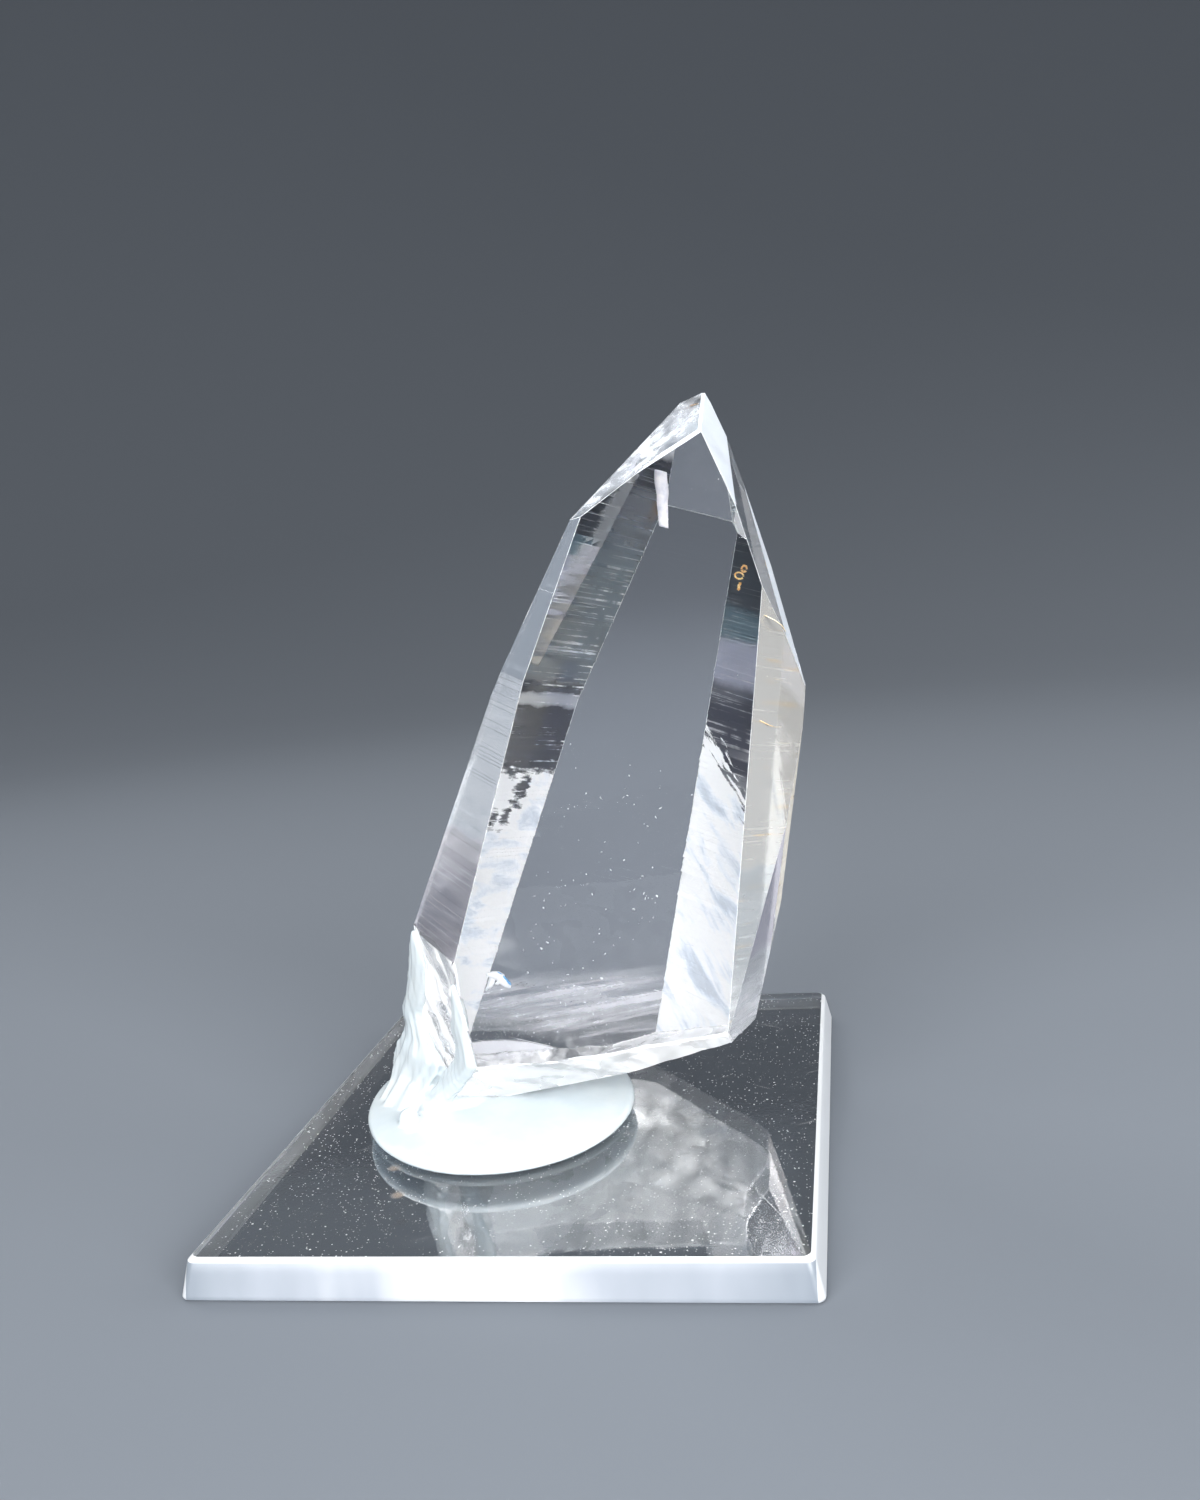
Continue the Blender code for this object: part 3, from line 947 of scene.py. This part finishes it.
def gold_fleck():
    """A little open ring of iron stain with a tail."""
    bm = bmesh.new()
    for cx, cz, rx, rz in ((5.13, 32.71, 0.40, 0.30), (5.42, 33.42, 0.24, 0.28)):
        path = [(cx + rx * cos(2 * pi * k / 16), 3.0, cz + rz * sin(2 * pi * k / 16)) for k in range(16)]
        widths = [0.14 + 0.07 * sin(3 * k) ** 2 for k in range(16)]
        ribbon(bm, path, widths, 0.15)
    path = [(5.36 + 0.05 * sin(2.1 * k), 3.0, 32.10 - 0.14 * k) for k in range(6)]
    ribbon(bm, path, [0.12, 0.22, 0.30, 0.22, 0.30, 0.14], 0.24)
    return bm


def gold_streaks():
    """Iron-stained cracks just under the right face."""
    bm = bmesh.new()
    ribbon(bm, [(7.4, -7.2, 30.0), (8.4, -7.0, 29.8), (9.2, -6.5, 29.5), (9.9, -5.3, 29.0)], [0.22, 0.34, 0.26, 0.10], 0.05)
    ribbon(bm, [(9.4, -7.0, 20.9), (10.4, -5.8, 20.6), (11.2, -4.4, 20.4), (11.9, -3.0, 20.4)], [0.18, 0.30, 0.24, 0.08], 0.05)
    return bm


def chip():
    """A white chip with a forked tail."""
    rng = np.random.default_rng(4)
    bm = bmesh.new()
    for at, r, slant in (
        ((-8.1, -8.2, -6.85), 0.42, (0.48, 0.0, 0.05)),
        ((-7.4, -8.2, -7.15), 0.40, (0.34, 0.0, -0.20)),
        ((-6.9, -8.2, -7.45), 0.22, (0.25, 0.0, -0.05)),
        ((-8.35, -8.2, -7.55), 0.30, (0.05, 0.0, 0.50)),
        ((-8.55, -8.2, -8.1), 0.13, (0.05, 0.0, 0.20)),
        ((-7.75, -8.2, -7.45), 0.16, (0.1, 0.0, 0.10)),
    ):
        grain(bm, at, r, slant, rng, 2)
    return bm


def chip_rim():
    rng = np.random.default_rng(6)
    bm = bmesh.new()
    grain(bm, (-7.45, -8.35, -6.72), 0.13, (0.50, 0.0, -0.28), rng, 2)
    grain(bm, (-6.85, -8.35, -7.10), 0.11, (0.25, 0.0, -0.20), rng, 2)
    return bm


seal("white_specks", specks(), sealed_finish("speck_white", (0.95, 0.97, 1.0), (0.85, 0.88, 0.92), 0.5))
seal("pale_tube", tube(), sealed_finish("tube_white", (0.88, 0.85, 0.86), (0.66, 0.66, 0.72), 0.55))
seal("gold_fleck", gold_fleck(), sealed_finish("iron_gold", (0.95, 0.72, 0.34), (0.72, 0.34, 0.08), 0.4, 2.2))
seal("gold_streaks", gold_streaks(), sealed_finish("iron_pale", (0.98, 0.88, 0.66), (0.90, 0.62, 0.30), 0.35, 0.8))
seal("white_chip", chip(), sealed_finish("chip_white", (0.97, 0.98, 1.0), (0.90, 0.93, 0.97), 0.4))
seal("blue_rim", chip_rim(), sealed_finish("chip_blue", (0.20, 0.48, 0.80), (0.05, 0.25, 0.60), 0.35))


# ---------------------------------------------------------------------------------------------
# the glue
# ---------------------------------------------------------------------------------------------
WORLD_PLANES = []
for _n in BASE_NAMES:
    _w = (CRYSTAL_M.to_3x3() @ NORMALS[_n]).normalized()
    WORLD_PLANES.append((_w, _w.dot(CRYSTAL_AT) + FACETS[_n][2] * MM))


def crystal_span(x, y):
    """Lowest and highest height of the crystal over that place, or None beside it."""
    low, high = -1.0, 1.0
    for nrm, d in WORLD_PLANES:
        rest = d - nrm.x * x - nrm.y * y
        if abs(nrm.z) < 1e-6:
            if rest < 0:
                return None
        elif nrm.z > 0:
            high = min(high, rest / nrm.z)
        else:
            low = max(low, rest / nrm.z)
    return (low, high) if low < high else None


PAD_CENTRE = (-0.00630, -0.00060)
PAD_LONG, PAD_SHORT, PAD_TURN = 0.0160, 0.0131, radians(-68.1)
PAD_FLOOR = PLATE_TOP + 0.00002
PAD_RIM, PAD_RISE = 0.00075, 0.0017


def pad_shell():
    """The puddle: a low dome with a round rim."""
    turn = Matrix.Rotation(PAD_TURN, 2)
    steps, rings_n = 160, 26

    def at(share, a):
        wander = 1 + 0.010 * cos(2 * a + 0.6) + 0.006 * cos(3 * a + 2.0)
        wander += 0.006 * noise.noise(Vector((cos(a) * 2.2, sin(a) * 2.2, 9)))
        flat = turn @ Vector((PAD_LONG * wander * share * cos(a), PAD_SHORT * wander * share * sin(a)))
        return flat.x + PAD_CENTRE[0], flat.y + PAD_CENTRE[1]

    rings = []
    for share, z in ((0.955, 0.0), (0.982, 0.12), (0.996, 0.35), (1.0, 0.6), (0.996, 0.85)):
        rings.append([(*at(share, 2 * pi * k / steps), PAD_FLOOR + z * PAD_RIM) for k in range(steps)])
    for j in range(rings_n):
        share = 0.985 * (1 - j / rings_n)
        ring = []
        for k in range(steps):
            x, y = at(share, 2 * pi * k / steps)
            dome = PAD_RIM + (PAD_RISE - PAD_RIM) * max(0.0, 1 - share * share) ** 0.6
            ripple = 0.05 * noise.noise(Vector((x * 300, y * 300, 0)))
            ring.append((x, y, PAD_FLOOR + dome + ripple * MM))
        rings.append(ring)
    return loft(rings)


# The glue drawn up over the broken corner: height, its two ends along that break and how far it
# stands out from it, in millimetres.
COLUMN = [
    (3.9, -13.0, -3.6, 4.8),
    (4.8, -12.8, -4.6, 4.2),
    (5.8, -13.2, -5.0, 3.0),
    (7.0, -13.7, -4.2, 2.2),
    (8.2, -13.2, -3.2, 1.8),
    (9.4, -12.3, -2.6, 1.5),
    (10.6, -11.1, -4.4, 1.0),
    (11.7, -10.6, -5.6, 0.8),
    (12.6, -10.8, -6.4, 0.75),
    (13.4, -10.7, -6.4, 0.65),
    (15.0, -9.2, -5.0, 0.50),
    (17.0, -7.9, -3.8, 0.40),
    (19.0, -6.8, -3.0, 0.34),
    (21.0, -5.5, -3.2, 0.28),
    (22.3, -4.6, -3.9, 0.15),
]


# The glue that follows the break's right edge.
RIDGE = [
    (4.2, -7.0, -3.2, 2.4),
    (5.0, -6.8, -2.8, 2.0),
    (6.0, -6.0, -1.8, 1.5),
    (7.2, -4.6, -0.2, 1.0),
    (8.5, -2.8, 1.6, 0.75),
    (10.0, -0.6, 3.7, 0.55),
    (11.2, 1.0, 5.1, 0.45),
    (12.6, 1.6, 4.9, 0.40),
    (14.4, 1.2, 4.6, 0.34),
    (16.2, 2.4, 4.7, 0.28),
    (18.0, 3.0, 4.3, 0.22),
    (18.8, 3.2, 3.9, 0.12),
]


def drawn_glue(table, folds, seed):
    """Glue drawn up in folds from the puddle over the broken corner."""
    wall, wall_d = WORLD_PLANES[BASE_NAMES.index("break_left")]
    flat = sqrt(wall.x**2 + wall.y**2)
    out = Vector((wall.x / flat, wall.y / flat))
    along = Vector((-out.y, out.x))
    steps = 96
    rings = []
    for k in range(57):
        t = k / 56 * (len(table) - 1)
        i = min(int(t), len(table) - 2)
        f = t - i
        z, left, right, stand = (p + (q - p) * f for p, q in zip(table[i], table[i + 1]))
        base = (wall_d * 1000 - wall.z * z) / flat
        middle = along * (left + right) / 2 + out * (base + (stand - 0.8) / 2)
        half, thick = (right - left) / 2, (stand + 0.8) / 2
        ring = []
        for j in range(steps):
            a = 2 * pi * j / steps
            fold = sin(a * folds + z * 0.5 + 2.2 * noise.noise(Vector((cos(a) * 1.5 + seed, sin(a) * 1.5, z * 0.16))))
            k_r = 1 + 0.08 * fold + 0.07 * noise.noise(Vector((cos(a) * 5 + seed, sin(a) * 5, z * 0.5)))
            p = middle + along * (half * k_r * cos(a)) + out * (thick * k_r * sin(a))
            ring.append((p.x * MM, p.y * MM, z * MM))
        rings.append(ring)
    return loft(rings)


def lobe_shell(centre, half, turn=0.0, tilt=0.0, seed=0.0):
    """A rounded lump of glue."""
    bm = bmesh.new()
    bmesh.ops.create_icosphere(bm, subdivisions=4, radius=1.0)
    m = Matrix.Rotation(turn, 4, "Z") @ Matrix.Rotation(tilt, 4, "Y")
    for v in bm.verts:
        swell = 1 + 0.10 * noise.noise(v.co * 1.7 + Vector((seed, 0, 0)))
        p = Vector((v.co.x * half[0], v.co.y * half[1], v.co.z * half[2])) * swell
        v.co = (m @ p + Vector(centre)) * MM
    return bm


def inside_depth(p):
    """Depth of a point under the crystal's nearest facet, negative outside, with that facet's normal."""
    return min(((d - nrm.dot(p), nrm) for nrm, d in WORLD_PLANES), key=lambda pair: pair[0])


def glue_body():
    """The puddle, column and lumps joined in one skin, which laps a little over the break."""
    whole = bmesh.new()
    parts = [
        pad_shell(),
        drawn_glue(COLUMN, 11, 0.0),
        drawn_glue(RIDGE, 9, 7.0),
        lobe_shell((-13.5, -7.2, 5.0), (0.95, 1.1, 0.95), seed=3.0),
        lobe_shell((-10.2, -3.0, 4.7), (3.8, 2.5, 1.3), turn=0.35, seed=8.0),
    ]
    for part in parts:
        bmesh.ops.recalc_face_normals(part, faces=part.faces)
        mesh = bpy.data.meshes.new("glue_part")
        part.to_mesh(mesh)
        part.free()
        whole.from_mesh(mesh)
        bpy.data.meshes.remove(mesh)
    raw = add_mesh("glue_raw", whole, [])
    remesh = raw.modifiers.new("skin", "REMESH")
    remesh.mode = "VOXEL"
    remesh.voxel_size = 0.00019
    smooth = raw.modifiers.new("ease", "SMOOTH")
    smooth.factor, smooth.iterations = 0.5, 4
    graph = bpy.context.evaluated_depsgraph_get()
    skin = bpy.data.meshes.new_from_object(raw.evaluated_get(graph))
    bpy.data.objects.remove(raw)
    bm = bmesh.new()
    bm.from_mesh(skin)
    bpy.data.meshes.remove(skin)
    for v in bm.verts:
        z = v.co.z * 1000
        if z > 5.6:
            q = v.co * 1000
            fold = noise.noise(Vector((q.x * 1.5, q.y * 1.5, q.z * 0.35)))
            v.co += v.normal * 0.10 * MM * fold * min(1.0, (z - 5.6) / 1.2)
        depth, nrm = inside_depth(v.co)
        if depth > 0.00035:
            v.co += nrm * (depth - 0.00035)
    for f in bm.faces:
        f.smooth = True
    return bm


def milky():
    """Set glue: milky white, glossy, a little see-through, with cloudy patches."""
    n = Nodes("milky_glue")
    n.set(Roughness=0.14, IOR=1.47, Subsurface_Weight=0.45, Subsurface_Scale=0.0025)
    n.bsdf.inputs["Subsurface Radius"].default_value = (0.8, 0.9, 1.0)
    cloud = n.noise(n.coords(), 0.16, 5.0, 0.6)
    n.link(
        n.ramp(cloud, [(0.3, (0.43, 0.485, 0.52)), (0.7, (0.50, 0.54, 0.555))]),
        n.bsdf.inputs["Base Color"],
    )
    fine = n.noise(n.coords(), 0.9, 3.0)
    n.link(n.bump(fine, 0.05, 0.0002), n.bsdf.inputs["Normal"])
    return n.mat


glue = add_mesh("glue", glue_body(), [milky()])
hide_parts("glue_pad")
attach(glue, "root")


# ---------------------------------------------------------------------------------------------
# stage, lights and camera
# ---------------------------------------------------------------------------------------------
def sweep():
    """A flat floor that turns up all round, with no line where floor and backdrop meet."""
    bm = bmesh.new()
    profile = [(0.0, 0.0)]
    flat, bend, top = 0.36, 0.50, 1.0
    profile += [(flat * k / 8, 0.0) for k in range(1, 9)]
    profile += [(flat + bend * sin(pi / 2 * k / 16), bend * (1 - cos(pi / 2 * k / 16))) for k in range(1, 17)]
    profile += [(flat + bend, bend + (top - bend) * k / 4) for k in range(1, 5)]
    turns = 96
    rings = []
    for r, z in profile:
        if r == 0:
            rings.append([bm.verts.new((0, 0, z))])
        else:
            rings.append([bm.verts.new((r * cos(2 * pi * t / turns), r * sin(2 * pi * t / turns), z)) for t in range(turns)])
    for a, b in zip(rings, rings[1:]):
        for t in range(turns):
            u = (t + 1) % turns
            if len(a) == 1:
                bm.faces.new((a[0], b[t], b[u]))
            else:
                bm.faces.new((a[t], b[t], b[u], a[u]))
    for f in bm.faces:
        f.smooth = True
    n = Nodes("sweep_paper")
    n.set(Roughness=0.95, Specular_IOR_Level=0.1, Base_Color=(0.128, 0.143, 0.164, 1.0))
    obj = add_mesh("sweep", bm, [n.mat])
    obj.location.z = -0.0001


def area(name, at, to, size, power, colour=(1, 1, 1), size_y=None):
    light = bpy.data.lights.new(name, "AREA")
    light.shape = "RECTANGLE"
    light.size = size
    light.size_y = size_y or size
    light.energy = power
    light.color = colour
    obj = bpy.data.objects.new(name, light)
    obj.location = at
    obj.rotation_euler = (Vector(to) - Vector(at)).to_track_quat("-Z", "Y").to_euler()
    obj.visible_camera = False
    bpy.context.scene.collection.objects.link(obj)
    return obj


sweep()
area("top_soft", (-0.08, -0.10, 0.38), (0, 0, 0.02), 0.26, 0.75)
area("back_soft", (0.26, 0.22, 0.40), (0, 0, 0.03), 0.34, 1.0)
area("front_left_soft", (-0.17, -0.50, 0.24), (0, 0, 0.03), 0.34, 4.6)
area("front_right_soft", (0.32, -0.40, 0.20), (0, 0, 0.03), 0.30, 5.4)
area("left_back_soft", (-0.22, 0.19, 0.32), (0, 0, 0.03), 0.18, 0.7)
area("left_low_soft", (-0.40, 0.11, 0.10), (0, 0, 0.04), 0.14, 0.08, size_y=0.07)
area("right_soft", (0.42, 0.02, 0.20), (0, 0, 0.03), 0.25, 0.8)

world = bpy.data.worlds.new("studio")
bpy.context.scene.world = world
world.use_nodes = True
world.node_tree.nodes["Background"].inputs["Color"].default_value = (0.5, 0.56, 0.66, 1)
world.node_tree.nodes["Background"].inputs["Strength"].default_value = 0.12

PITCH, YAW, ROLL = radians(8.388), radians(-10.463), radians(-5.391)
fwd = Vector((sin(YAW) * cos(PITCH), cos(YAW) * cos(PITCH), -sin(PITCH)))
right = Vector((cos(YAW), -sin(YAW), 0.0))
up = right.cross(fwd)
cam_x = cos(ROLL) * right + sin(ROLL) * up
cam_y = -sin(ROLL) * right + cos(ROLL) * up
camera = bpy.data.cameras.new("camera")
camera.sensor_fit = "VERTICAL"
camera.sensor_height = 36.0
camera.sensor_width = 36.0
camera.lens = 33.6
camera.clip_start = 0.005
camera.clip_end = 10.0
cam = bpy.data.objects.new("camera", camera)
rot = Matrix((cam_x, cam_y, -fwd)).transposed().to_4x4()
cam.matrix_world = Matrix.Translation(Vector((0.030129, -0.126866, 0.056635))) @ rot
bpy.context.scene.collection.objects.link(cam)
bpy.context.scene.camera = cam

scene = bpy.context.scene
scene.cycles.max_bounces = 24
scene.cycles.transmission_bounces = 20
scene.cycles.glossy_bounces = 8
scene.cycles.diffuse_bounces = 4
scene.view_settings.view_transform = "Standard"
